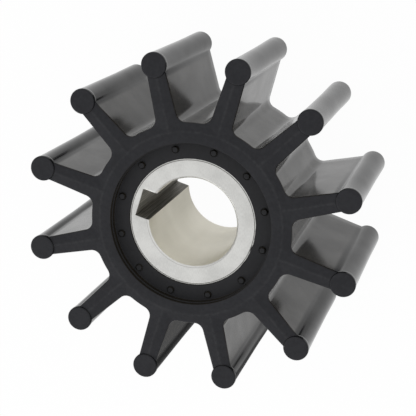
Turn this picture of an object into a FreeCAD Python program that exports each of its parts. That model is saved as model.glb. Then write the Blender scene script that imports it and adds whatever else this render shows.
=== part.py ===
import FreeCAD, Part
import math
import os

import Sketcher

# Flexible pump impeller: a rubber moulding of hub and vanes, bonded round a keyed metal bush.
# Millimetres. +Z is the shaft's axis, z = 0 is the plane of the lower bulb ends,
# and the keyway and one vane point along +X.

doc = FreeCAD.newDocument("pump_impeller")


# Driving dimensions

SIZES = {
    # rubber moulding
    "outer_diameter": 95.2,
    "overall_width": 47.0,
    "vane_count": 12,
    "bulb_diameter": 7.0,
    "bulb_waist_diameter": 6.5,
    "bulb_rim_height": 0.8,
    "bulb_rim_taper": 1.2,
    "web_root_thickness": 6.2,
    "web_tip_thickness": 5.0,
    "root_fillet": 2.6,
    "neck_fillet": 1.5,
    "hub_diameter": 56.4,
    "land_diameter": 51.4,
    "recess_diameter": 45.2,
    "recess_depth": 2.55,
    "recess_step_depth": 1.15,
    "recess_step_width": 0.3,
    "bulb_proud": 0.3,
    "edge_fall": 0.35,
    "gate_pip_circle": 41.4,
    "gate_pip_diameter": 1.9,
    "gate_pip_height": 0.7,
    # metal bush
    "bush_diameter": 35.7,
    "bush_sunk": 0.25,
    "bush_chamfer": 0.3,
    "bore_diameter": 25.0,
    "bore_chamfer": 0.4,
    "key_width": 8.0,
    "key_depth": 3.3,
}

# Heights and radii that follow from the driving dimensions
DERIVED = {
    "bulb_circle": "=outer_diameter - bulb_diameter",
    "waist_bottom": "=bulb_rim_height + bulb_rim_taper",
    "waist_top": "=overall_width - waist_bottom",
    "land_top": "=overall_width - bulb_proud",
    "land_bottom": "=bulb_proud",
    "edge_top": "=land_top - edge_fall",
    "edge_bottom": "=land_bottom + edge_fall",
    "floor_top": "=land_top - recess_depth",
    "floor_bottom": "=land_bottom + recess_depth",
    "floor_diameter": "=recess_diameter - 2 * recess_step_width",
    "step_top": "=land_top - recess_step_depth",
    "step_bottom": "=land_bottom + recess_step_depth",
    "bush_top": "=floor_top - bush_sunk",
    "bush_bottom": "=floor_bottom + bush_sunk",
    "key_floor": "=bore_diameter / 2 + key_depth",
    "cut_margin": "=bulb_diameter",
}


def make_sheet():
    """Put each named size in the sheet's first columns, name beside value."""
    sheet = doc.addObject("Spreadsheet::Sheet", "sizes")
    rows = {name: str(value) for name, value in SIZES.items()}
    rows.update(DERIVED)
    for row, (name, text) in enumerate(rows.items(), start=1):
        sheet.set(f"A{row}", name)
        sheet.set(f"B{row}", text)
        sheet.setAlias(f"B{row}", name)
    doc.recompute()
    return sheet


sizes = make_sheet()


def size(name):
    """The value of a named size, used only to draw a sketch close to its solved shape."""
    return float(getattr(sizes, name))


def vector(x, y):
    return FreeCAD.Vector(x, y, 0)


def make_body(label):
    body = doc.addObject("PartDesign::Body", label)
    body.Label = label
    return body


def origin_item(body, role):
    """The origin plane or axis of a body that has the given role."""
    return next(item for item in body.Origin.OriginFeatures if item.Role == role)


def make_sketch(body, name, plane):
    sketch = body.newObject("Sketcher::SketchObject", name)
    sketch.AttachmentSupport = (origin_item(body, plane), "")
    sketch.MapMode = "FlatFace"
    return sketch


def bind(sketch, kind, where, name, value, expression):
    """Add a named dimension to a sketch and tie it to the sheet."""
    sketch.addConstraint(Sketcher.Constraint(kind, *where, value))
    sketch.renameConstraint(sketch.ConstraintCount - 1, name)
    sketch.setExpression(f"Constraints.{name}", expression)


def evaluate(sketch, expression):
    """A sheet expression's value as a plain number."""
    value = sketch.evalExpression(expression)
    return float(getattr(value, "Value", value))


def draw_polygon(sketch, corners):
    """Draw a closed polygon whose corners are pairs of sheet expressions.

    Each corner is fixed by its distance from both sketch axes, so an outline follows
    the sheet point by point. A corner on an axis is held there by the axis.
    """
    first = sketch.GeometryCount
    values = [(evaluate(sketch, across), evaluate(sketch, up)) for across, up in corners]
    for i, start in enumerate(values):
        end = values[(i + 1) % len(values)]
        sketch.addGeometry(Part.LineSegment(vector(*start), vector(*end)), False)
    for i in range(len(values)):
        sketch.addConstraint(
            Sketcher.Constraint("Coincident", first + i, 2, first + (i + 1) % len(values), 1)
        )
    for i, ((across, up), (x, y)) in enumerate(zip(corners, values)):
        line = first + i
        for kind, text, value, axis in (("DistanceX", across, x, -2), ("DistanceY", up, y, -1)):
            if abs(value) < 1e-9:
                sketch.addConstraint(Sketcher.Constraint("PointOnObject", line, 1, axis))
            else:
                where = (-1, 1, line, 1)
                bind(sketch, kind, where, f"{kind}_{line}", value, text)


def pad(body, name, sketch, length):
    feature = body.newObject("PartDesign::Pad", name)
    feature.Profile = sketch
    feature.setExpression("Length", length)
    doc.recompute()
    return feature


def pocket_through(body, name, sketch):
    """Cut a sketch through everything on both sides of its plane."""
    feature = body.newObject("PartDesign::Pocket", name)
    feature.Profile = sketch
    feature.Type = "ThroughAll"
    feature.SideType = "Symmetric"
    doc.recompute()


def revolve(body, name, sketch):
    """Turn a half section a full turn about its sketch's upright axis."""
    feature = body.newObject("PartDesign::Revolution", name)
    feature.Profile = sketch
    feature.ReferenceAxis = (sketch, ["V_Axis"])
    feature.Angle = 360
    doc.recompute()


def polar_pattern(body, name, features=()):
    """Repeat features, or with none given the whole body so far, once for each vane."""
    pattern = body.newObject("PartDesign::PolarPattern", name)
    if features:
        pattern.Originals = list(features)
    else:
        pattern.TransformMode = "Whole shape"
    pattern.Axis = (origin_item(body, "Z_Axis"), "")
    pattern.Angle = 360
    pattern.setExpression("Occurrences", "sizes.vane_count")
    body.Tip = pattern
    doc.recompute()


# Rubber moulding

def draw_vane_plan(sketch):
    """Plan of one vane along +X: web, root fillets on the hub, neck fillets on the bulb's waist.

    The web's two sides taper from the root thickness at the hub's radius to the tip thickness
    at the bulb's centre. Each fillet's circle touches both the web's side and the hub or waist.
    The points are drawn where the dimensions will hold them, so the solver has little to do.
    """
    hub_r = size("hub_diameter") / 2
    land_r = size("land_diameter") / 2
    bulb_x = size("bulb_circle") / 2
    waist_r = size("bulb_waist_diameter") / 2
    root_half = size("web_root_thickness") / 2
    tip_half = size("web_tip_thickness") / 2
    root_f = size("root_fillet")
    neck_f = size("neck_fillet")

    slope = math.atan2(root_half - tip_half, bulb_x - hub_r)
    outward = vector(math.sin(slope), math.cos(slope))
    along = vector(math.cos(slope), -math.sin(slope))
    station = vector(hub_r, root_half)

    def fillet_centre(round_centre, reach, offset, side):
        """Point at the offset from the web's side and at the reach from a round's centre."""
        base = station + outward * offset
        to_round = round_centre - base
        foot = base + along * to_round.dot(along)
        drop = (round_centre - foot).Length
        return foot + along * (side * math.sqrt(reach * reach - drop * drop))

    hub_centre = vector(0, 0)
    bulb_centre = vector(bulb_x, 0)
    root_c = fillet_centre(hub_centre, hub_r + root_f, root_f, 1)
    neck_c = fillet_centre(bulb_centre, waist_r + neck_f, neck_f, -1)
    root_start = root_c * (hub_r / (hub_r + root_f))
    root_end = root_c - outward * root_f
    neck_start = neck_c - outward * neck_f
    neck_end = bulb_centre + (neck_c - bulb_centre) * (waist_r / (waist_r + neck_f))
    inner = vector(land_r, 0)

    def flipped(point):
        return vector(point.x, -point.y)

    def arc(centre, radius, start, end):
        begin = math.atan2(start.y - centre.y, start.x - centre.x)
        finish = math.atan2(end.y - centre.y, end.x - centre.x)
        circle = Part.Circle(centre, FreeCAD.Vector(0, 0, 1), radius)
        return Part.ArcOfCircle(circle, begin, finish)

    (
        to_hub, root_arc, side, neck_arc, chord, low_neck, low_side, low_root, from_hub,
        root_ray, neck_ray, root_station, tip_station,
    ) = range(13)
    sketch.addGeometry(Part.LineSegment(inner, root_start), False)
    sketch.addGeometry(arc(root_c, root_f, root_start, root_end), False)
    sketch.addGeometry(Part.LineSegment(root_end, neck_start), False)
    sketch.addGeometry(arc(neck_c, neck_f, neck_start, neck_end), False)
    sketch.addGeometry(Part.LineSegment(neck_end, flipped(neck_end)), False)
    sketch.addGeometry(arc(flipped(neck_c), neck_f, flipped(neck_end), flipped(neck_start)), False)
    sketch.addGeometry(Part.LineSegment(flipped(neck_start), flipped(root_end)), False)
    sketch.addGeometry(arc(flipped(root_c), root_f, flipped(root_end), flipped(root_start)), False)
    sketch.addGeometry(Part.LineSegment(flipped(root_start), inner), False)
    sketch.addGeometry(Part.LineSegment(hub_centre, root_c), True)
    sketch.addGeometry(Part.LineSegment(bulb_centre, neck_c), True)
    sketch.addGeometry(Part.Point(station), True)
    sketch.addGeometry(Part.Point(vector(bulb_x, tip_half)), True)

    def constrain(kind, *where):
        sketch.addConstraint(Sketcher.Constraint(kind, *where))

    # Point 1 of a line or arc is its start, 2 its end and 3 an arc's centre
    constrain("PointOnObject", to_hub, 1, -1)
    constrain("Coincident", to_hub, 2, root_arc, 1)
    constrain("Tangent", root_arc, 2, side, 1)
    constrain("Tangent", side, 2, neck_arc, 1)
    constrain("Coincident", neck_arc, 2, chord, 1)
    constrain("Coincident", chord, 2, low_neck, 1)
    constrain("Coincident", low_neck, 2, low_side, 1)
    constrain("Coincident", low_side, 2, low_root, 1)
    constrain("Coincident", low_root, 2, from_hub, 1)
    constrain("Coincident", from_hub, 2, to_hub, 1)
    for upper, upper_end, lower, lower_end in (
        (root_arc, 1, low_root, 2),
        (side, 1, low_side, 2),
        (side, 2, low_side, 1),
        (neck_arc, 2, low_neck, 1),
    ):
        constrain("Symmetric", upper, upper_end, lower, lower_end, -1)
    constrain("Equal", root_arc, low_root)
    constrain("Equal", neck_arc, low_neck)
    constrain("Coincident", root_ray, 1, -1, 1)
    constrain("Coincident", root_ray, 2, root_arc, 3)
    constrain("PointOnObject", root_arc, 1, root_ray)
    constrain("PointOnObject", neck_ray, 1, -1)
    constrain("Coincident", neck_ray, 2, neck_arc, 3)
    constrain("PointOnObject", neck_arc, 2, neck_ray)
    constrain("PointOnObject", root_station, 1, side)
    constrain("PointOnObject", tip_station, 1, side)

    bind(sketch, "DistanceX", (-1, 1, to_hub, 1), "inner_x", land_r, "sizes.land_diameter / 2")
    bind(sketch, "Radius", (root_arc,), "root_r", root_f, "sizes.root_fillet")
    bind(sketch, "Radius", (neck_arc,), "neck_r", neck_f, "sizes.neck_fillet")
    reach = "sizes.hub_diameter / 2 + sizes.root_fillet"
    bind(sketch, "Distance", (root_ray,), "root_reach", hub_r + root_f, reach)
    reach = "sizes.bulb_waist_diameter / 2 + sizes.neck_fillet"
    bind(sketch, "Distance", (neck_ray,), "neck_reach", waist_r + neck_f, reach)
    bind(sketch, "DistanceX", (-1, 1, neck_ray, 1), "bulb_x", bulb_x, "sizes.bulb_circle / 2")
    for point, name, x, x_text, y, y_text in (
        (root_station, "root", hub_r, "sizes.hub_diameter / 2",
         root_half, "sizes.web_root_thickness / 2"),
        (tip_station, "tip", bulb_x, "sizes.bulb_circle / 2",
         tip_half, "sizes.web_tip_thickness / 2"),
    ):
        bind(sketch, "DistanceX", (-1, 1, point, 1), f"{name}_station_x", x, x_text)
        bind(sketch, "DistanceY", (-1, 1, point, 1), f"{name}_half", y, y_text)


def make_rubber_moulding():
    body = make_body("rubber_moulding")
    # The vanes stand apart until the hub joins them
    body.AllowCompound = True

    plan = make_sketch(body, "vane_plan", "XY_Plane")
    draw_vane_plan(plan)
    pad(body, "vane_web", plan, "sizes.overall_width")

    # Each end of the web is a low roof: a ridge level with the hub's land falls to both sides
    roof = make_sketch(body, "vane_roof", "YZ_Plane")
    half = "sizes.web_root_thickness / 2"
    wide = "sizes.hub_diameter / 2"
    for level, edge, beyond in (
        ("sizes.land_top", "sizes.edge_top", "(sizes.overall_width + sizes.cut_margin)"),
        ("sizes.land_bottom", "sizes.edge_bottom", "(-sizes.cut_margin)"),
    ):
        draw_polygon(roof, [
            (f"-{wide}", beyond),
            (f"-{wide}", edge),
            (f"-{half}", edge),
            ("0", level),
            (half, edge),
            (wide, edge),
            (wide, beyond),
        ])
    pocket_through(body, "vane_roof_cut", roof)

    # Half section of the bulb about its own axis: a waist between a thin rim at each end
    bulb = make_sketch(body, "bulb_section", "XZ_Plane")
    bulb.setExpression("AttachmentOffset.Base.x", "sizes.bulb_circle / 2")
    rim = "sizes.bulb_diameter / 2"
    waist = "sizes.bulb_waist_diameter / 2"
    draw_polygon(bulb, [
        ("0", "0"),
        (rim, "0"),
        (rim, "sizes.bulb_rim_height"),
        (waist, "sizes.waist_bottom"),
        (waist, "sizes.waist_top"),
        (rim, "sizes.overall_width - sizes.bulb_rim_height"),
        (rim, "sizes.overall_width"),
        ("0", "sizes.overall_width"),
    ])
    revolve(body, "vane_bulb", bulb)
    polar_pattern(body, "vanes")

    # Half section of the hub: recess with a small step about half way down its wall, raised land,
    # and a cone that falls to the hub's edge
    section = make_sketch(body, "hub_section", "XZ_Plane")
    inner = "sizes.bush_diameter / 2"
    floor = "sizes.floor_diameter / 2"
    recess = "sizes.recess_diameter / 2"
    land = "sizes.land_diameter / 2"
    hub = "sizes.hub_diameter / 2"
    draw_polygon(section, [
        (inner, "sizes.floor_bottom"),
        (floor, "sizes.floor_bottom"),
        (floor, "sizes.step_bottom"),
        (recess, "sizes.step_bottom"),
        (recess, "sizes.land_bottom"),
        (land, "sizes.land_bottom"),
        (hub, "sizes.edge_bottom"),
        (hub, "sizes.edge_top"),
        (land, "sizes.land_top"),
        (recess, "sizes.land_top"),
        (recess, "sizes.step_top"),
        (floor, "sizes.step_top"),
        (floor, "sizes.floor_top"),
        (inner, "sizes.floor_top"),
    ])
    revolve(body, "hub", section)

    # Round stubs left by the mould's gates, one for each vane, in the upper recess only
    plan = make_sketch(body, "gate_pip_plan", "XY_Plane")
    plan.setExpression("AttachmentOffset.Base.z", "sizes.floor_top")
    pip_x = size("gate_pip_circle") / 2
    pip_r = size("gate_pip_diameter") / 2
    plan.addGeometry(Part.Circle(vector(pip_x, 0), FreeCAD.Vector(0, 0, 1), pip_r), False)
    plan.addConstraint(Sketcher.Constraint("PointOnObject", 0, 3, -1))
    bind(plan, "DistanceX", (-1, 1, 0, 3), "centre_x", pip_x, "sizes.gate_pip_circle / 2")
    bind(plan, "Radius", (0,), "pip_r", pip_r, "sizes.gate_pip_diameter / 2")
    pip = pad(body, "gate_pip", plan, "sizes.gate_pip_height")
    polar_pattern(body, "gate_pips", [pip])
    return body


# Metal bush

def make_metal_bush():
    body = make_body("metal_bush")
    section = make_sketch(body, "bush_section", "XZ_Plane")
    bore = "sizes.bore_diameter / 2"
    bore_edge = "(sizes.bore_diameter / 2 + sizes.bore_chamfer)"
    outer = "sizes.bush_diameter / 2"
    outer_edge = "(sizes.bush_diameter / 2 - sizes.bush_chamfer)"
    draw_polygon(section, [
        (bore, "sizes.bush_bottom + sizes.bore_chamfer"),
        (bore_edge, "sizes.bush_bottom"),
        (outer_edge, "sizes.bush_bottom"),
        (outer, "sizes.bush_bottom + sizes.bush_chamfer"),
        (outer, "sizes.bush_top - sizes.bush_chamfer"),
        (outer_edge, "sizes.bush_top"),
        (bore_edge, "sizes.bush_top"),
        (bore, "sizes.bush_top - sizes.bore_chamfer"),
    ])
    revolve(body, "bush_turning", section)

    keyway = make_sketch(body, "keyway_plan", "XY_Plane")
    half = "sizes.key_width / 2"
    draw_polygon(keyway, [
        ("0", f"-{half}"),
        ("sizes.key_floor", f"-{half}"),
        ("sizes.key_floor", half),
        ("0", half),
    ])
    pocket_through(body, "keyway", keyway)
    return body


def check(bodies):
    """Stop if any object failed to build or a piece isn't one valid closed solid."""
    for item in doc.Objects:
        if "Invalid" in item.State or "Error" in item.State:
            raise RuntimeError(f"{item.Name} failed to build: {item.State}")
    for body in bodies:
        shape = body.Shape
        if shape.isNull() or not shape.isValid():
            raise RuntimeError(f"{body.Label} has no valid shape")
        if len(shape.Solids) != 1:
            raise RuntimeError(f"{body.Label} is {len(shape.Solids)} solids, not one")


bodies = [make_rubber_moulding(), make_metal_bush()]
doc.recompute()
check(bodies)

os.makedirs("parts", exist_ok=True)
for body in bodies:
    body.Shape.exportStep(f"parts/{body.Label}.step")
    box = body.Shape.BoundBox
    print(f"{body.Label}: {body.Shape.Volume / 1000:.3f} cm3, {len(body.Shape.Faces)} faces,"
          f" {box.XLength:.2f} x {box.YLength:.2f} x {box.ZLength:.2f} mm")
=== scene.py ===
import math

import bmesh
import bpy
import numpy as np
from mathutils import Matrix, Vector


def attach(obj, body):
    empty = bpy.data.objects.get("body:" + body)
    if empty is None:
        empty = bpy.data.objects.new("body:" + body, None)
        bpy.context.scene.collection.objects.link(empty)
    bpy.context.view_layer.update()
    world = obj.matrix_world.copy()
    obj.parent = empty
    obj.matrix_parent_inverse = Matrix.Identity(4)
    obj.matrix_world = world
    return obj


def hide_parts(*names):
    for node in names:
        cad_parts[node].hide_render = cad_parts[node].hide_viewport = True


# Flexible pump impeller: a black rubber wheel of twelve vanes bonded round a keyed metal bush.
# Shapes are worked out in millimetres and put into their meshes in metres.

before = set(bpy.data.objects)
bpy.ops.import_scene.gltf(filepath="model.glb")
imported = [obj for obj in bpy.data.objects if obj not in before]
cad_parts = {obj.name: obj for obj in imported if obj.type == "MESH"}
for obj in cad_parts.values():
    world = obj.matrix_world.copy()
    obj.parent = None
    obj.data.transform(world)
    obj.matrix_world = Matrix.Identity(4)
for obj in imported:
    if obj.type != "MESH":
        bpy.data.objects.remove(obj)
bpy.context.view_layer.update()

MM = 0.001

# Rubber wheel: the grip is the hole that holds the bush
WIDTH = 47.0
VANES = 12
BULB_X = 44.1
RIM_R = 3.5
WAIST_R = 3.35
RIM_START = 45.0
RIM_FULL = 45.95
LOWER_RIM_START = 28.0
WEB_ROOT_HALF = 3.1
WEB_TIP_HALF = 2.5
ROOT_FILLET = 2.6
NECK_FILLET = 1.5
HUB_R = 28.2
LAND_R = 25.7
LAND_TOP = 46.7
EDGE_FALL = 0.35
BULB_FOOT = BULB_X - RIM_R
RECESS_R = 22.6
RECESS_DEPTH = 2.55
GRIP_R = 17.85
PIP_X = 20.7
PIP_R = 0.95
PIP_HEIGHT = 0.7
HALF_VANE = math.pi / VANES

# Where the mesh round a bulb ends on its vane
COLLAR_X = 38.0

# Roundings of the rubber's edges
EAVE_ROUND = 0.35
RIDGE_ROUND = 0.2
BULB_ROUND = 0.4
LIP_ROUND = 0.15
LEDGE = 0.3
LEDGE_DROP = 1.15
LEDGE_SLOPE = 0.06
LEDGE_ROOT_ROUND = 0.08
LEDGE_EDGE_ROUND = 0.12
FOOT_ROUND = 0.25
GRIP_LIP = 0.15
GRIP_ROUND = 0.1

# Gate pips: radii of their groove and of their top; the groove's depth is a share of the height
PIP_REACH = 1.12
PIP_TOP_R = 0.72
PIP_GROOVE = 0.32

# Flash over the bush: how far it reaches, the middle of its stretch and that stretch's half
FLASH_REACH = 0.3
FLASH_MIDDLE = 3.1
FLASH_HALF = 0.35

# Metal bush: the line is a fine painted shade line round the chamfer, and the mouth is the x where
# the keyway leaves the bore
BUSH_R = 17.85
BUSH_TOP = 43.9
BUSH_EDGE = 0.15
BUSH_FACE_R = 16.95
BUSH_LIP_DROP = 0.04
GROOVE_R = 17.45
GROOVE_HALF = 0.1
GROOVE_DEPTH = 0.2
GROOVE_LIP_DROP = 0.01
BORE_R = 12.5
BORE_CHAMFER = 0.4
BORE_SHADE_LINE_R = 12.94
KEY_HALF = 4.0
KEY_FLOOR = 15.8
KEY_BREAK = 0.15
KEY_MOUTH = 11.9

MID = WIDTH / 2


# Plane curves

def point(x, y):
    return np.array([x, y], float)


def span(start, end, count):
    """Points along a straight line, both ends included."""
    t = np.linspace(0, 1, count + 1)[:, None]
    return start + (end - start) * t


def arc(centre, radius, begin, finish, count):
    """Points along a circle's arc, both ends included."""
    angle = np.linspace(begin, finish, count + 1)
    return centre + radius * np.stack([np.cos(angle), np.sin(angle)], axis=1)


def angle_of(vector):
    return math.atan2(vector[1], vector[0])


def rounded(corners, radii, steps=4):
    """A bent line with each inner corner replaced by an arc that touches both its sides.

    With a and b the unit vectors from the corner along its sides and h half the angle between
    them, the arc's centre lies r / sin(h) from the corner along a + b.
    """
    line = [np.array(corners[:1], float)]
    for before, corner, after, radius in zip(corners, corners[1:], corners[2:], radii):
        corner = np.array(corner, float)
        a = (before - corner) / np.linalg.norm(before - corner)
        b = (after - corner) / np.linalg.norm(after - corner)
        half = math.acos(np.dot(a, b)) / 2
        centre = corner + (a + b) / np.linalg.norm(a + b) * radius / math.sin(half)
        tangent = radius / math.tan(half)
        begin = angle_of(corner + a * tangent - centre)
        turn = math.remainder(angle_of(corner + b * tangent - centre) - begin, 2 * math.pi)
        line.append(arc(centre, radius, begin, begin + turn, steps))
    return np.concatenate(line + [np.array(corners[-1:], float)])


def easing(t, width):
    """Zero below -width, t above width, and a parabola that joins the two without a kink."""
    middle = (t + width) ** 2 / (4 * width)
    return np.where(t < -width, 0, np.where(t > width, t, middle))


def step(t):
    """Rise from 0 to 1 as t does, level at both ends: 3t^2 - 2t^3."""
    t = np.clip(t, 0, 1)
    return t * t * (3 - 2 * t)


def round_off(distance, radius):
    """Drop of a quarter round at a distance in from the edge: r - sqrt(r^2 - (r - d)^2)."""
    inside = np.clip(radius - distance, 0, radius)
    return radius - np.sqrt(radius * radius - inside * inside)


def distance_to(line, points):
    """Least distance from each point to a line of short straight runs."""
    start = line[:-1]
    run = line[1:] - start
    away = points[..., None, :] - start
    along = (away * run).sum(-1) / (run * run).sum(-1)
    foot = start + run * np.clip(along, 0, 1)[..., None]
    return np.linalg.norm(points[..., None, :] - foot, axis=-1).min(-1)


def coons(left, right, bottom, top, rise_left, rise_right):
    """Fill the patch between four curves.

    S = (1-u) left + u right + (1-v) bottom + v top - the bilinear blend of the four corners.
    The v of a row runs straight from its value on the left curve to its value on the right.
    """
    u = np.linspace(0, 1, len(bottom))[:, None, None]
    v = (rise_left * (1 - u[..., 0]) + rise_right * u[..., 0])[..., None]
    sides = (1 - u) * left + u * right
    ends = (1 - v) * bottom[:, None] + v * top[:, None]
    lower = (1 - u) * bottom[0] + u * bottom[-1]
    upper = (1 - u) * top[0] + u * top[-1]
    return sides + ends - (1 - v) * lower - v * upper


# Outline of half a vane and half a gap, from the bulb's tip to the middle of the hub's arc

SLOPE = math.atan2(WEB_ROOT_HALF - WEB_TIP_HALF, BULB_X - HUB_R)
OUTWARD = point(math.sin(SLOPE), math.cos(SLOPE))
ALONG = point(math.cos(SLOPE), -math.sin(SLOPE))
BULB = point(BULB_X, 0)
HUB = point(0, 0)


def fillet_centre(round_centre, reach, offset, side):
    """Point at the offset from the web's side and at the reach from a round's centre."""
    base = point(HUB_R, WEB_ROOT_HALF) + OUTWARD * offset
    foot = base + ALONG * np.dot(round_centre - base, ALONG)
    drop = np.linalg.norm(round_centre - foot)
    return foot + ALONG * side * math.sqrt(reach * reach - drop * drop)


ROOT = fillet_centre(HUB, HUB_R + ROOT_FILLET, ROOT_FILLET, 1)
NECK = fillet_centre(BULB, WAIST_R + NECK_FILLET, NECK_FILLET, -1)


def bulb_and_neck(radius, bulb_steps=26, neck_steps=3):
    """The bulb's arc and what is left of the neck's fillet, for a bulb of that radius.

    The two circles cross where the triangle of their radii and the distance of their centres
    closes, so both angles come from the law of cosines.
    """
    reach = WAIST_R + NECK_FILLET
    to_neck = angle_of(NECK - BULB)
    at_bulb = (radius ** 2 + reach ** 2 - NECK_FILLET ** 2) / (2 * radius * reach)
    at_neck = (NECK_FILLET ** 2 + reach ** 2 - radius ** 2) / (2 * NECK_FILLET * reach)
    cross = to_neck + math.acos(min(at_bulb, 1))
    begin = to_neck - math.pi - math.acos(min(at_neck, 1))
    bulb_arc = arc(BULB, radius, 0, cross, bulb_steps)
    neck_arc = arc(NECK, NECK_FILLET, begin, angle_of(-OUTWARD), neck_steps)
    return bulb_arc, neck_arc


def web_and_hub(side_steps=5, root_steps=9, hub_steps=5):
    """The web's side, its root fillet and the hub's arc, each as points."""
    neck_end = NECK - OUTWARD * NECK_FILLET
    root_end = ROOT - OUTWARD * ROOT_FILLET
    collar = neck_end + ALONG * ((COLLAR_X - neck_end[0]) / ALONG[0])
    root_begin = angle_of(-OUTWARD)
    root_finish = angle_of(-ROOT)
    return (
        span(neck_end, collar, 3),
        span(collar, root_end, side_steps),
        arc(ROOT, ROOT_FILLET, root_begin, root_finish, root_steps),
        arc(HUB, HUB_R, angle_of(ROOT), HALF_VANE, hub_steps),
    )


def joined(*curves):
    """Curves end to end, with each shared point once."""
    return np.concatenate([curves[0]] + [curve[1:] for curve in curves[1:]])


COLLAR_SIDE, WEB_SIDE, ROOT_ARC, HUB_ARC = web_and_hub()
RIM_ARC, RIM_NECK = bulb_and_neck(RIM_R)
EAVE = joined(RIM_NECK, COLLAR_SIDE, WEB_SIDE, ROOT_ARC, HUB_ARC)


# Heights of the upper end

def land_height(plan):
    """Height of the upper end away from its edges.

    The web's roof falls by |y| from its ridge, the hub's cone falls by radius from the land,
    and the higher of the two shows: land - fall * min(|y| / 3.1, (r - 25.7) / 2.5, 1). The
    ridge is rounded by sqrt(y^2 + c^2) - c in place of |y|.
    """
    radius = np.linalg.norm(plan, axis=-1)
    across = np.sqrt(plan[..., 1] ** 2 + RIDGE_ROUND ** 2) - RIDGE_ROUND
    roof = np.minimum(across / WEB_ROOT_HALF, 1)
    cone = np.minimum(easing((radius - LAND_R) / (HUB_R - LAND_R), 0.1), 1)
    lesser = roof - easing(roof - cone, 0.06)
    return LAND_TOP - EDGE_FALL * lesser


def eave_height(plan):
    """The upper end's height with its outer edge rounded off."""
    return land_height(plan) - round_off(distance_to(EAVE, plan), EAVE_ROUND)


def raised(plan, height):
    """Plan points with their heights as third coordinate."""
    height = np.broadcast_to(height, plan.shape[:-1])
    return np.concatenate([plan, height[..., None]], axis=-1)


def rows_from_edge(length, steps):
    """Fractions of a column's length: close together in the edge's rounding, then even.

    The close ones lie at fixed distances from the edge.
    """
    near = np.array([0, 0.03, 0.11, 0.22, EAVE_ROUND, 0.6]) / length
    return np.concatenate([near, np.linspace(near[-1], 1, steps + 1)[1:]])


def column(start, end, steps=6):
    """A straight column of points from the eave inwards, with its fractions."""
    rise = rows_from_edge(np.linalg.norm(end - start), steps)
    return start + (end - start) * rise[:, None], rise


def web_patches():
    """The upper end from the bulb's circle to the land's circle, as four patches.

    Their left and right curves are the bulb's circle, the column where the collar ends, the
    column where the root fillet begins, the one that meets the land on the vane's centre
    line, and the radius in the middle of the gap.
    """
    split = 5
    cross = angle_of(RIM_ARC[-1] - BULB)
    rise = rows_from_edge(RIM_R * (math.pi - cross), 6)
    angle = cross + (math.pi - cross) * rise
    round_bulb = BULB + RIM_R * np.stack([np.cos(angle), np.sin(angle)], axis=1)

    collar_end, collar_rise = column(COLLAR_SIDE[-1], point(COLLAR_X, 0))
    root_x = WEB_SIDE[-1][0]
    web_end, web_rise = column(WEB_SIDE[-1], point(root_x, 0))
    corner, corner_rise = column(ROOT_ARC[split], point(LAND_R, 0))
    land_arc_steps = len(ROOT_ARC) - 1 - split + len(HUB_ARC) - 1
    land_arc = arc(HUB, LAND_R, 0, HALF_VANE, land_arc_steps)
    gap_middle, gap_rise = column(HUB_ARC[-1], land_arc[-1])

    collar_eave = joined(RIM_NECK, COLLAR_SIDE)
    collar_ridge = span(round_bulb[-1], collar_end[-1], len(collar_eave) - 1)
    web_ridge = span(collar_end[-1], web_end[-1], len(WEB_SIDE) - 1)
    root_ridge = span(web_end[-1], corner[-1], split)
    hub_eave = joined(ROOT_ARC[split:], HUB_ARC)
    plans = [
        coons(round_bulb, collar_end, collar_eave, collar_ridge, rise, collar_rise),
        coons(collar_end, web_end, WEB_SIDE, web_ridge, collar_rise, web_rise),
        coons(web_end, corner, ROOT_ARC[:split + 1], root_ridge, web_rise, corner_rise),
        coons(corner, gap_middle, hub_eave, land_arc, corner_rise, gap_rise),
    ]
    return [raised(plan, eave_height(plan)) for plan in plans], round_bulb, land_arc


def bulb_patches(round_bulb):
    """The bulb's end disc with its rounded edge, and the wall under that edge.

    Half a disc: rings about the bulb's centre, lowered by the rounding at each ring. The wall
    stands on the side wall's top and then on the web's roof.
    """
    ring = np.concatenate([RIM_ARC, round_bulb[1:]])
    radius = RIM_R - np.array([0, 0.02, 0.08, 0.18, 0.29, BULB_ROUND, 0.6, 1.3, 2.3, RIM_R])
    plan = BULB + (ring - BULB)[:, None] * (radius / RIM_R)[:, None]
    disc = raised(plan, WIDTH - round_off(RIM_R - radius, BULB_ROUND))
    foot = eave_height(ring)
    foot[:len(RIM_ARC)] = eave_height(RIM_ARC[-1:])
    level = np.linspace(0, 1, 3)
    height = foot[:, None] + (WIDTH - BULB_ROUND - foot)[:, None] * level
    wall = raised(np.repeat(ring[:, None], len(level), axis=1), height)
    return disc, wall


def side_wall(rim_start):
    """The outline carried from the middle of the width to the eave.

    The bulb's radius is the waist's, and eases to the rim's by 3t^2 - 2t^3 from the given
    height on: just below the upper end, and over a long run at the lower end. Two rows lie
    below that height and six from there to the eave.
    """
    top = eave_height(EAVE)
    lows = np.concatenate([np.linspace(MID, rim_start, 3)[:2], np.full(6, rim_start)])
    rises = np.concatenate([[0, 0], np.linspace(0, 1, 6)])
    grid = []
    for low, rising in zip(lows, rises):
        height = low + (top[0] - low) * rising
        bulge = step((height - rim_start) / (RIM_FULL - rim_start))
        bulb_arc, neck_arc = bulb_and_neck(WAIST_R + (RIM_R - WAIST_R) * bulge)
        plan = joined(bulb_arc, neck_arc, COLLAR_SIDE, WEB_SIDE, ROOT_ARC, HUB_ARC)
        ends = np.concatenate([np.full(len(bulb_arc) - 1, top[0]), top])
        heights = low + (ends - low) * rising
        grid.append(raised(plan, heights))
    return np.stack(grid, axis=1)


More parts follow.
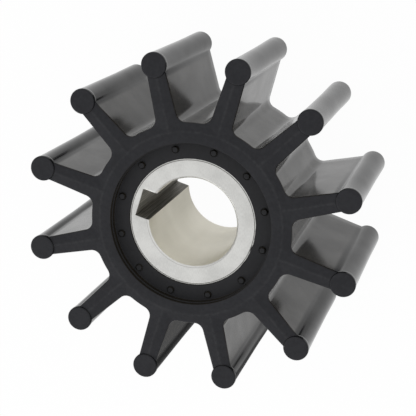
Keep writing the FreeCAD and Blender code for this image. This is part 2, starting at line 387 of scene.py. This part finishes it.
def recess_patches(land_arc, pip_height):
    """Land, sharp lip, stepped recess wall and floor, then the floor round one gate pip.

    The first patch is a profile of radius and drop turned through half a vane's angle. The
    floor is ruled along rays from the pip's centre, so its rings close round the pip, and
    the pip itself is a profile of radius and rise turned about that centre: a narrow groove
    round a tapered stub. The grip is a profile of radius and height: the floor's rounded inner
    edge, the bit of wall that stands above the bush, and the wall behind the bush.
    """
    wall_r = RECESS_R - LEDGE
    profile = rounded(
        [
            (LAND_R, 0), (RECESS_R, 0), (RECESS_R, LEDGE_DROP), (wall_r, LEDGE_DROP + LEDGE_SLOPE),
            (wall_r, RECESS_DEPTH), (wall_r - FOOT_ROUND, RECESS_DEPTH),
        ],
        [LIP_ROUND, LEDGE_ROOT_ROUND, LEDGE_EDGE_ROUND, FOOT_ROUND * 0.95],
    )
    angle = np.arctan2(land_arc[:, 1], land_arc[:, 0])
    ray = np.stack([np.cos(angle), np.sin(angle)], axis=1)
    plan = ray[:, None] * profile[:, :1]
    ring = raised(plan, land_height(plan) - profile[:, 1])

    floor_height = LAND_TOP - RECESS_DEPTH
    ring[:, -1, 2] = floor_height
    outer = ray * profile[-1, 0]
    inner = ray * (GRIP_R + GRIP_LIP)
    edge = joined(outer, span(outer[-1], inner[-1], 4), inner[::-1])
    pip = point(PIP_X, 0)
    away = edge - pip
    away_ray = away / np.linalg.norm(away, axis=1)[:, None]
    share = np.array([0, 0.4, 0.75, 1])[:, None]
    floor = edge[:, None] + (pip + away_ray * PIP_REACH - edge)[:, None] * share
    stub = rounded(
        [
            (PIP_REACH, 0), (PIP_R + 0.08, -PIP_GROOVE), (PIP_R - 0.06, -PIP_GROOVE),
            (PIP_TOP_R, 1), (0, 1),
        ],
        [0.04, 0.04, 0.1],
    )
    stub_plan = pip + away_ray[:, None] * stub[:, :1]
    stub_height = floor_height + stub[:, 1] * pip_height
    above_bush = rounded(
        [(GRIP_R + GRIP_LIP, floor_height), (GRIP_R, floor_height), (GRIP_R, BUSH_TOP + 0.03)],
        [GRIP_ROUND],
    )
    grip = joined(above_bush, [above_bush[-1], (GRIP_R, BUSH_TOP), (GRIP_R, MID)])
    grip = raised(ray[:, None] * grip[:, :1], grip[:, 1])
    return ring, raised(floor, floor_height), grip, raised(stub_plan, stub_height)


def uneven_pips(halves):
    """Cut each pip at its own height and slant, as torn stubs are.

    A pip's rise h becomes h * share + h * slant . (p - centre), with the share and the slant
    going round the wheel in unequal steps.
    """
    floor_height = LAND_TOP - RECESS_DEPTH
    cut = []
    for i, half in enumerate(halves):
        k = i // 2
        share = 0.9 + 0.16 * math.sin(5.3 * k + 0.7)
        slant = 0.09 * point(math.cos(2.9 * k), math.sin(4.1 * k))
        turn = 2 * math.pi * k / VANES
        centre = PIP_X * point(math.cos(turn), math.sin(turn))
        rise = half[..., 2] - floor_height
        level = share + (half[..., :2] - centre) @ slant
        cut.append(raised(half[..., :2], floor_height + rise * level))
    return cut


def crept(points):
    """Let the rubber creep over the upper edge of the bush on one side, as a thin uneven flash.

    At the polar angle a the rubber's inner edge moves in over the bush by 0.3 f, with
    f = max(0, sin 23a + 0.7 sin 41a + 0.9) * exp(-((a - 3.1) / 0.35)^2) / 2. The move fades
    to nothing over the edge's rounding, and what lies behind the bush stays.
    """
    angle = np.arctan2(points[..., 1], points[..., 0]) % (2 * math.pi)
    nibs = np.maximum(0, np.sin(23 * angle) + 0.7 * np.sin(41 * angle) + 0.9) / 2
    flash = nibs * np.exp(-((angle - FLASH_MIDDLE) / FLASH_HALF) ** 2)
    radius = np.linalg.norm(points[..., :2], axis=-1)
    fade = 1 - (radius - GRIP_R) / GRIP_LIP
    moved = np.where(points[..., 2] > BUSH_TOP + 0.01, FLASH_REACH * flash * fade, 0)
    return raised(points[..., :2] * (1 - moved / radius)[..., None], points[..., 2])


# Meshes

MERGED = 2e-6
NO_LENGTH = 1e-7
SHARP = math.radians(32)


def copies(grid, upper=True, lower=True, repeats=VANES):
    """Mirror a half cell across the vane's centre line, place it at the ends, and turn it."""
    flip = np.array([1, -1, 1])
    pair = [grid, grid * flip]
    both = []
    if upper:
        both += pair
    if lower:
        both += [half * np.array([1, 1, -1]) + np.array([0, 0, WIDTH]) for half in pair]
    placed = []
    for k in range(repeats):
        turn = np.array(Matrix.Rotation(2 * math.pi * k / repeats, 3, "Z"))
        placed += [half @ turn.T for half in both]
    return placed


def surface(name, grids):
    """One closed mesh from grids of points: a face for each grid cell, then doubles merged."""
    points = []
    faces = []
    base = 0
    for grid in grids:
        rows, columns = grid.shape[:2]
        index = base + np.arange(rows * columns).reshape(rows, columns)
        corners = [index[:-1, :-1], index[1:, :-1], index[1:, 1:], index[:-1, 1:]]
        faces.append(np.stack(corners, axis=-1).reshape(-1, 4))
        points.append(grid.reshape(-1, 3))
        base += rows * columns
    points = np.concatenate(points) * MM
    faces = np.concatenate(faces)
    mesh = bpy.data.meshes.new(name)
    mesh.from_pydata(points.tolist(), [], faces.tolist())
    made = bmesh.new()
    made.from_mesh(mesh)
    bmesh.ops.remove_doubles(made, verts=made.verts, dist=MERGED)
    bmesh.ops.dissolve_degenerate(made, dist=NO_LENGTH, edges=made.edges)
    bmesh.ops.recalc_face_normals(made, faces=made.faces)
    made.to_mesh(mesh)
    made.free()
    mesh.shade_smooth()
    mesh.set_sharp_from_angle(angle=SHARP)
    piece = bpy.data.objects.new(name, mesh)
    bpy.context.scene.collection.objects.link(piece)
    return piece


def make_rubber_wheel():
    """The rubber moulding: one half cell worked out, then copied to every vane and both ends."""
    ends, round_bulb, land_arc = web_patches()
    same_at_both = [*ends, *bulb_patches(round_bulb)]
    grids = copies(side_wall(RIM_START), lower=False)
    grids += copies(side_wall(LOWER_RIM_START), upper=False)
    for grid in same_at_both:
        grids += copies(grid)
    ring, floor, grip, pip = recess_patches(land_arc, PIP_HEIGHT)
    grids += copies(ring) + copies(floor)
    grids += [crept(half) for half in copies(grip)]
    grids += uneven_pips(copies(pip, lower=False))
    flat_pip = recess_patches(land_arc, 0)[-1]
    grids += copies(flat_pip, upper=False)
    return surface("rubber_wheel", grids)


def make_turned_bush():
    """The metal bush: half of its upper half worked out, then mirrored.

    The end face is ruled between the bore with its keyway and the circle where the rim begins,
    with the keyway's floor, its side and the bore each on their own stretch of that circle. It
    drops by a 45 degree chamfer at the bore and by a small edge break along the keyway. The rim
    is a profile of radius and drop turned about the axis: a fine groove, a rounded edge and the
    outside wall.
    """
    start = math.asin(KEY_HALF / BORE_R)
    key_floor = span(point(KEY_FLOOR, 0), point(KEY_FLOOR, KEY_HALF), 6)
    key_side = span(key_floor[-1], point(BORE_R * math.cos(start), KEY_HALF), 6)
    bore = arc(HUB, BORE_R, start, math.pi, 44)
    key_line = joined(key_floor, key_side)
    inner = joined(key_line, bore)
    floor_end = 0.21
    side_end = 0.47
    turn = np.concatenate([
        np.linspace(0, floor_end, 7),
        np.linspace(floor_end, side_end, 7)[1:],
        np.linspace(side_end, math.pi, 45)[1:],
    ])
    circle = np.stack([np.cos(turn), np.sin(turn)], axis=1)
    outer = BUSH_FACE_R * circle
    run = np.linalg.norm(outer - inner, axis=1)[:, None]
    near = np.array([0, 0.08, 0.18, 0.33, 0.4, 0.47, 0.6])
    share = np.concatenate([near / run, np.full((len(run), 1), 1)], axis=1)
    plan = inner[:, None] + (outer - inner)[:, None] * share[..., None]
    radius = np.linalg.norm(plan, axis=-1)
    bore_drop = easing(BORE_CHAMFER - (radius - BORE_R), 0.05)
    key_drop = easing(KEY_BREAK - distance_to(key_line, plan), 0.03)
    drop = np.maximum(bore_drop, key_drop)
    drop[:, -1] = 0
    face = raised(plan, BUSH_TOP - drop)
    level = np.array([0, 0.3, 0.6, 1])
    height = face[:, :1, 2] * (1 - level) + MID * level
    wall = raised(np.repeat(inner[:, None], len(level), axis=1), height)
    profile = rounded(
        [
            (BUSH_FACE_R, 0), (GROOVE_R - GROOVE_HALF, 0), (GROOVE_R, GROOVE_DEPTH),
            (GROOVE_R + GROOVE_HALF, GROOVE_LIP_DROP), (BUSH_R, BUSH_LIP_DROP),
            (BUSH_R, BUSH_TOP - MID),
        ],
        [0.02, 0.03, 0.02, BUSH_EDGE],
    )
    rim = raised(circle[:, None] * profile[:, :1], BUSH_TOP - profile[:, 1])
    grids = []
    for grid in (face, wall, rim):
        grids += copies(grid, repeats=1)
    return surface("turned_bush", grids)


# Materials

class Signal:
    """A node's output socket. Operators on signals add Math nodes to its node tree."""

    def __init__(self, socket):
        self.socket = socket

    def node(self, kind, settings, inputs, output=0):
        """Add a node of a kind: its settings first, then the values or links of its sockets."""
        tree = self.socket.id_data
        made = tree.nodes.new(kind)
        for name, value in settings.items():
            setattr(made, name, value)
        for name, value in inputs.items():
            if isinstance(value, Signal):
                tree.links.new(value.socket, made.inputs[name])
            else:
                made.inputs[name].default_value = value
        return Signal(made.outputs[output])

    def math(self, operation, *values):
        """A Math node of some values, or of this signal alone."""
        inputs = dict(enumerate(values or (self,)))
        return self.node("ShaderNodeMath", {"operation": operation}, inputs)

    def __add__(self, other):
        return self.math("ADD", self, other)

    def __radd__(self, other):
        return self.math("ADD", other, self)

    def __sub__(self, other):
        return self.math("SUBTRACT", self, other)

    def __rsub__(self, other):
        return self.math("SUBTRACT", other, self)

    def __mul__(self, other):
        return self.math("MULTIPLY", self, other)

    def __rmul__(self, other):
        return self.math("MULTIPLY", other, self)

    def __abs__(self):
        return self.math("ABSOLUTE")


def new_material(name):
    """A material, its Principled shader, and its object coordinates and normal as signals."""
    material = bpy.data.materials.new(name)
    material.use_nodes = True
    tree = material.node_tree
    shader = tree.nodes["Principled BSDF"]
    place = tree.nodes.new("ShaderNodeTexCoord")
    return material, shader, Signal(place.outputs["Object"]), Signal(place.outputs["Normal"])


def set_shader(shader, **links):
    """Give the shader's sockets their values or signals."""
    tree = shader.id_data
    for name, value in links.items():
        socket = shader.inputs[name.replace("_", " ")]
        if isinstance(value, Signal):
            tree.links.new(value.socket, socket)
        else:
            socket.default_value = value


def noise(place, scale, detail=3, roughness=0.5):
    """Noise from 0 to 1 with features about 1 / scale metres across."""
    return place.node(
        "ShaderNodeTexNoise", {},
        {"Vector": place, "Scale": scale, "Detail": detail, "Roughness": roughness},
    )


def stretched(place, x, y, z):
    """Coordinates multiplied along each axis, so a pattern read from them is drawn out."""
    return place.node(
        "ShaderNodeVectorMath", {"operation": "MULTIPLY"}, {0: place, 1: (x, y, z)}
    )


def blend(factor, first, second):
    """Mix of two colours by a factor."""
    return factor.node(
        "ShaderNodeMix", {"data_type": "RGBA"},
        {"Factor": factor, 6: first, 7: second}, output=2,
    )


def smooth_range(value, low, high, bottom=0.0, top=1.0):
    """Map a value's range onto another, by 3t^2 - 2t^3, and hold it level beyond both ends."""
    return value.node(
        "ShaderNodeMapRange", {"interpolation_type": "SMOOTHSTEP"},
        {"Value": value, 1: low, 2: high, 3: bottom, 4: top},
    )


def mm_range(value, low, high, bottom=0.0, top=1.0):
    """The same for a length, with its range in millimetres."""
    return smooth_range(value, low * MM, high * MM, bottom, top)


def split(vector):
    """The three coordinates of a vector."""
    first = vector.node("ShaderNodeSeparateXYZ", {}, {0: vector})
    node = first.socket.node
    return [Signal(output) for output in node.outputs]


def bump(height, strength, distance):
    """A bumped normal from a height signal."""
    inputs = {"Height": height, "Strength": strength, "Distance": distance}
    return height.node("ShaderNodeBump", {}, inputs)


def combined(first, second=0.0):
    """A vector of one or two signals, for a pattern that varies with those alone."""
    return first.node("ShaderNodeCombineXYZ", {}, {0: first, 1: second})


# Colours of the finishes
FACE_DARK = (0.0185, 0.0188, 0.0213, 1)
FACE_DUSTY = (0.0233, 0.0237, 0.0265, 1)
# Painted highlight colour of the pale lines along the ridges and the land's edge
FACE_PAINTED_HIGHLIGHT = (0.0405, 0.0410, 0.0435, 1)
# Painted shade colour of the recess
RECESS_PAINTED_SHADE = (0.0190, 0.0191, 0.0195, 1)
SIDE_DARK = (0.0125, 0.0108, 0.0085, 1)
SIDE_WARM = (0.0185, 0.0155, 0.0115, 1)
BULB_COOL = (0.0068, 0.0070, 0.0080, 1)
BUSH_DULL = (0.495, 0.495, 0.48, 1)
BUSH_BRIGHT = (0.615, 0.615, 0.597, 1)
# Painted highlight colour of the bore's chamfer
CHAMFER_PAINTED_HIGHLIGHT = (0.69, 0.69, 0.67, 1)
# Bore colours: random cloudy tone, and painted shade towards the keyway side
BORE_DULL_SHADED = (0.60, 0.575, 0.485, 1)
BORE_PALE_LIT = (0.86, 0.83, 0.73, 1)
# Keyway colours, painted dark for the shade in the keyway; the streaks between them are broach
# marks
PAINTED_SHADE_DARK = (0.13, 0.126, 0.115, 1)
KEY_SHADED_PALE = (0.36, 0.35, 0.32, 1)

# Width of the rubber's painted highlight lines, in millimetres
LINE_WIDTH = 0.6

# Cosine and sine of the angle between the bush's brush marks and the y axis, 17 degrees
BRUSH_COS = 0.956
BRUSH_SIN = 0.292


def rubber_finish():
    """Black moulded rubber: matt end faces, glossier sides with draw lines.

    A faint line, bumped a little and painted pale as a highlight, follows the ridge of each
    vane's end and the land's outer edge. The distance to a ridge is the radius times the angle
    folded onto half a vane. The recess is painted a little darker, as shade. The bulbs lose
    their gloss along their necks, more so towards the upper end.
    """
    material, shader, place, normal = new_material("moulded_black_rubber")
    x, y, z = split(place)
    radius = (x * x + y * y).math("SQRT")
    angle = y.math("ARCTAN2", y, x)
    facing = smooth_range(abs(split(normal)[2]), 0.5, 0.85)
    outside = mm_range(radius, LAND_R - 0.2, LAND_R + 0.5)
    recess = mm_range(radius, RECESS_R - 0.4, RECESS_R + 0.3, 1.0, 0.0)

    # Painted highlight: pale lines along each vane's ridge and the land's outer edge, where the
    # rounded ends catch light
    across = radius * angle.math("PINGPONG", angle, HALF_VANE)
    on_web = outside * mm_range(radius, BULB_FOOT - 0.4, BULB_FOOT + 0.1, 1.0, 0.0)
    ridge = mm_range(across, 0.0, LINE_WIDTH, 1.0, 0.0) * on_web
    crease = mm_range(abs(radius - LAND_R * MM), 0.0, LINE_WIDTH, 1.0, 0.0)
    line = ridge.math("MAXIMUM", ridge, crease)

    clouds = noise(place, 110, 4, 0.6)
    mottle = noise(place, 900, 4, 0.6)
    grain = noise(place, 2600, 2)
    draw = noise(stretched(place, 800, 800, 22), 1, 4, 0.6)
    bloom = smooth_range(clouds * 0.45 + mottle * 0.55, 0.38, 0.62)
    face_colour = blend(bloom, FACE_DARK, FACE_DUSTY)
    # Painted highlight along the ridges and the crease
    face_colour = blend(line * (0.1 + bloom * 0.35), face_colour, FACE_PAINTED_HIGHLIGHT)
    # Painted shade: the recess is darkened a little
    face_colour = blend(recess * 0.45, face_colour, RECESS_PAINTED_SHADE)
    cloudy = smooth_range(clouds, 0.3, 0.7)
    bulb = mm_range(radius, BULB_FOOT - 0.6, BULB_FOOT + 0.6)
    side_colour = blend(cloudy, SIDE_DARK, SIDE_WARM)
    side_colour = blend(bulb, side_colour, BULB_COOL)
    inner_bulb = bulb * mm_range(radius, BULB_FOOT + 1.2, BULB_FOOT + 4.2, 1.0, 0.0)
    neck = inner_bulb * mm_range(z, 14.0, 46.0)
    colour = blend(facing, side_colour, face_colour)

    rough_side = 0.07 + draw * 0.06 + clouds * 0.05
    rough_face = 0.50 + grain * 0.10 + clouds * 0.10
    matt = facing.math("MAXIMUM", facing, 1.0 - outside)
    roughness = rough_side + (rough_face - rough_side) * matt
    gloss = (1.0 - matt) * (0.34 + cloudy * 0.16) * (1.0 - bulb * 0.22) * (1.0 - neck)
    height = (grain * 0.3 + mottle * 0.9 + line * 0.3) * matt + draw * 0.12
    set_shader(
        shader, Base_Color=colour, Roughness=roughness, Specular_IOR_Level=0.10,
        Coat_Weight=gloss, Coat_Roughness=0.1, Normal=bump(height, 0.35, 0.08 * MM),
    )
    return material


def metal_finish():
    """Metal: end faces brushed one way, a cloudy bore, a keyway with broach marks.

    The keyway is painted dark as shade. The bore is painted darker towards the keyway, as shade,
    and its chamfer is painted brighter than the face, as a highlight, with a fine painted shade
    line round it. The groove near the outer edge is painted dark as shade too.
    """
    material, shader, place, normal = new_material("turned_metal")
    x, y, _ = split(place)
    radius = (x * x + y * y).math("SQRT")
    facing = smooth_range(abs(split(normal)[2]), 0.3, 0.6)
    keyway = mm_range(x, KEY_MOUTH - 0.03, KEY_MOUTH + 0.03) * (1.0 - facing)

    rings = noise(combined(radius * 7000), 1, 4, 0.7)
    along = y * BRUSH_COS - x * BRUSH_SIN
    across = x * BRUSH_COS + y * BRUSH_SIN
    brushed = noise(combined(across * 5200, along * 1300), 1, 4, 0.7)
    clouds = noise(place, 150, 4, 0.6)
    streaks = noise(stretched(place, 3000, 3000, 60), 1, 4, 0.7)
    turned = rings * 0.25 + brushed * 0.75
    worked = streaks + (turned - streaks) * facing

    # Bore tone: random clouds, plus painted shade making the bore darker towards the keyway side
    soft = noise(place, 75, 2, 0.45)
    pale = smooth_range(soft, 0.3, 0.66) * 0.4 + mm_range(x, 3.0, 11.0, 0.6, 0.0)
    bore_colour = blend(pale, BORE_DULL_SHADED, BORE_PALE_LIT)
    # Painted shade: the keyway is coloured dark for the shade in it, with pale broach streaks
    key_shaded_colour = blend(smooth_range(streaks, 0.35, 0.65), PAINTED_SHADE_DARK, KEY_SHADED_PALE)
    shine = smooth_range(worked * 0.6 + clouds * 0.4, 0.38, 0.62)
    face_colour = blend(shine, BUSH_DULL, BUSH_BRIGHT)
    # Painted highlight: the bore's chamfer is coloured brighter than the face
    chamfer_end = BORE_R + BORE_CHAMFER
    chamfer = mm_range(radius, chamfer_end - 0.1, chamfer_end, 1.0, 0.0)
    face_colour = blend(chamfer, face_colour, CHAMFER_PAINTED_HIGHLIGHT)
    colour = blend(facing, blend(keyway, bore_colour, key_shaded_colour), face_colour)
    # Painted shade: dark lines in the groove near the outer edge and round the bore's chamfer
    groove = mm_range(abs(radius - GROOVE_R * MM), 0.06, 0.14, 1.0, 0.0)
    line = mm_range(abs(radius - BORE_SHADE_LINE_R * MM), 0.04, 0.12, 1.0, 0.0)
    colour = blend(groove * 0.55 + line * 0.28, colour, PAINTED_SHADE_DARK)
    roughness = 0.28 + worked * 0.16 + clouds * 0.08 + keyway * 0.2
    set_shader(
        shader, Base_Color=colour, Metallic=1.0, Roughness=roughness,
        Normal=bump(worked, 0.25, 0.04 * MM),
    )
    return material


def seen_by(path):
    """Whether a ray comes from the camera, from a reflection or through glass, as signals."""
    kinds = ("Is Camera Ray", "Is Glossy Ray", "Is Transmission Ray")
    return [Signal(path.outputs[kind]) for kind in kinds]


def floor_finish():
    """White floor: plain white to the camera but for a faint shadow, less so in reflections.

    Reflections also show a soft dark shade on it, as where an object keeps light off: beside
    and between the vanes at 90 and 120 degrees, beyond a slanting line and out to about 70 mm
    from the axis. An empty second shader is black.
    """
    material, shader, place, _ = new_material("white_floor")
    set_shader(shader, Base_Color=(0.8, 0.8, 0.8, 1), Roughness=0.9, Specular_IOR_Level=0.0)
    tree = material.node_tree
    camera, glossy, through = seen_by(tree.nodes.new("ShaderNodeLightPath"))
    glow = place.node("ShaderNodeEmission", {}, {"Color": (1, 1, 1, 1), "Strength": 1.0})
    mixed = place.node(
        "ShaderNodeMixShader", {},
        {0: (camera + through) * 0.97 + glossy * 0.7, 1: Signal(shader.outputs[0]), 2: glow},
    )
    x, y, _ = split(place)
    radius = (x * x + y * y).math("SQRT")
    beyond = mm_range(y + x * 0.314, 24.5, 32.5)
    near = mm_range(radius, 64.0, 80.0, 1.0, 0.0) * mm_range(x, -2.0, 6.0, 1.0, 0.0)
    shade = glossy * beyond * near * 0.84
    shaded = place.node("ShaderNodeMixShader", {}, {0: shade, 1: mixed})
    tree.links.new(shaded.socket, tree.nodes["Material Output"].inputs["Surface"])
    return material


# Pieces

def dress(piece, material, node):
    """Give a piece its finish, let it ride on the one body and stand for its CAD node."""
    piece.data.materials.append(material)
    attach(piece, "root")
    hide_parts(node)


wheel = make_rubber_wheel()
bush = make_turned_bush()
dress(wheel, rubber_finish(), "rubber_moulding")
dress(bush, metal_finish(), "metal_bush")


# Floor, light and camera

def make_floor():
    """A plain square floor, a hair below the lower bulb ends so no two faces coincide."""
    half = 2.0
    level = -0.02 * MM
    mesh = bpy.data.meshes.new("floor")
    plan = [(-half, -half), (half, -half), (half, half), (-half, half)]
    mesh.from_pydata([(x, y, level) for x, y in plan], [], [(0, 1, 2, 3)])
    floor = bpy.data.objects.new("floor", mesh)
    bpy.context.scene.collection.objects.link(floor)
    floor.data.materials.append(floor_finish())


def make_light():
    """A white world, a little paler where it is seen, and one soft lamp low at the side."""
    world = bpy.data.worlds.new("white_surround")
    world.use_nodes = True
    back = world.node_tree.nodes["Background"]
    back.inputs["Color"].default_value = (1, 1, 1, 1)
    camera, glossy, through = seen_by(world.node_tree.nodes.new("ShaderNodeLightPath"))
    strength = (camera + glossy + through) * 0.1 + 0.9
    world.node_tree.links.new(strength.socket, back.inputs["Strength"])
    bpy.context.scene.world = world
    lamp = bpy.data.lights.new("soft_key", "AREA")
    lamp.energy = 3.0
    lamp.size = 0.5
    key = bpy.data.objects.new("soft_key", lamp)
    key.location = (0.35, 0.7, 0.32)
    key.rotation_euler = (-key.location).to_track_quat("-Z", "Y").to_euler()
    bpy.context.scene.collection.objects.link(key)


def make_camera():
    """The photograph's camera: looking down at the upper end, turned about its line of sight."""
    data = bpy.data.cameras.new("camera")
    data.lens = 104.44
    data.sensor_width = 36.0
    camera = bpy.data.objects.new("camera", data)
    place = Vector((-56.01, -111.36, 348.0)) * MM
    target = Vector((0.624, 1.562, 23.5)) * MM
    camera.location = place
    aim = (target - place).to_track_quat("-Z", "Y")
    roll = Matrix.Rotation(math.radians(-133.94), 3, "Z").to_quaternion()
    camera.rotation_mode = "QUATERNION"
    camera.rotation_quaternion = aim @ roll
    bpy.context.scene.collection.objects.link(camera)
    bpy.context.scene.camera = camera


make_floor()
make_light()
make_camera()
bpy.context.scene.view_settings.view_transform = "Standard"
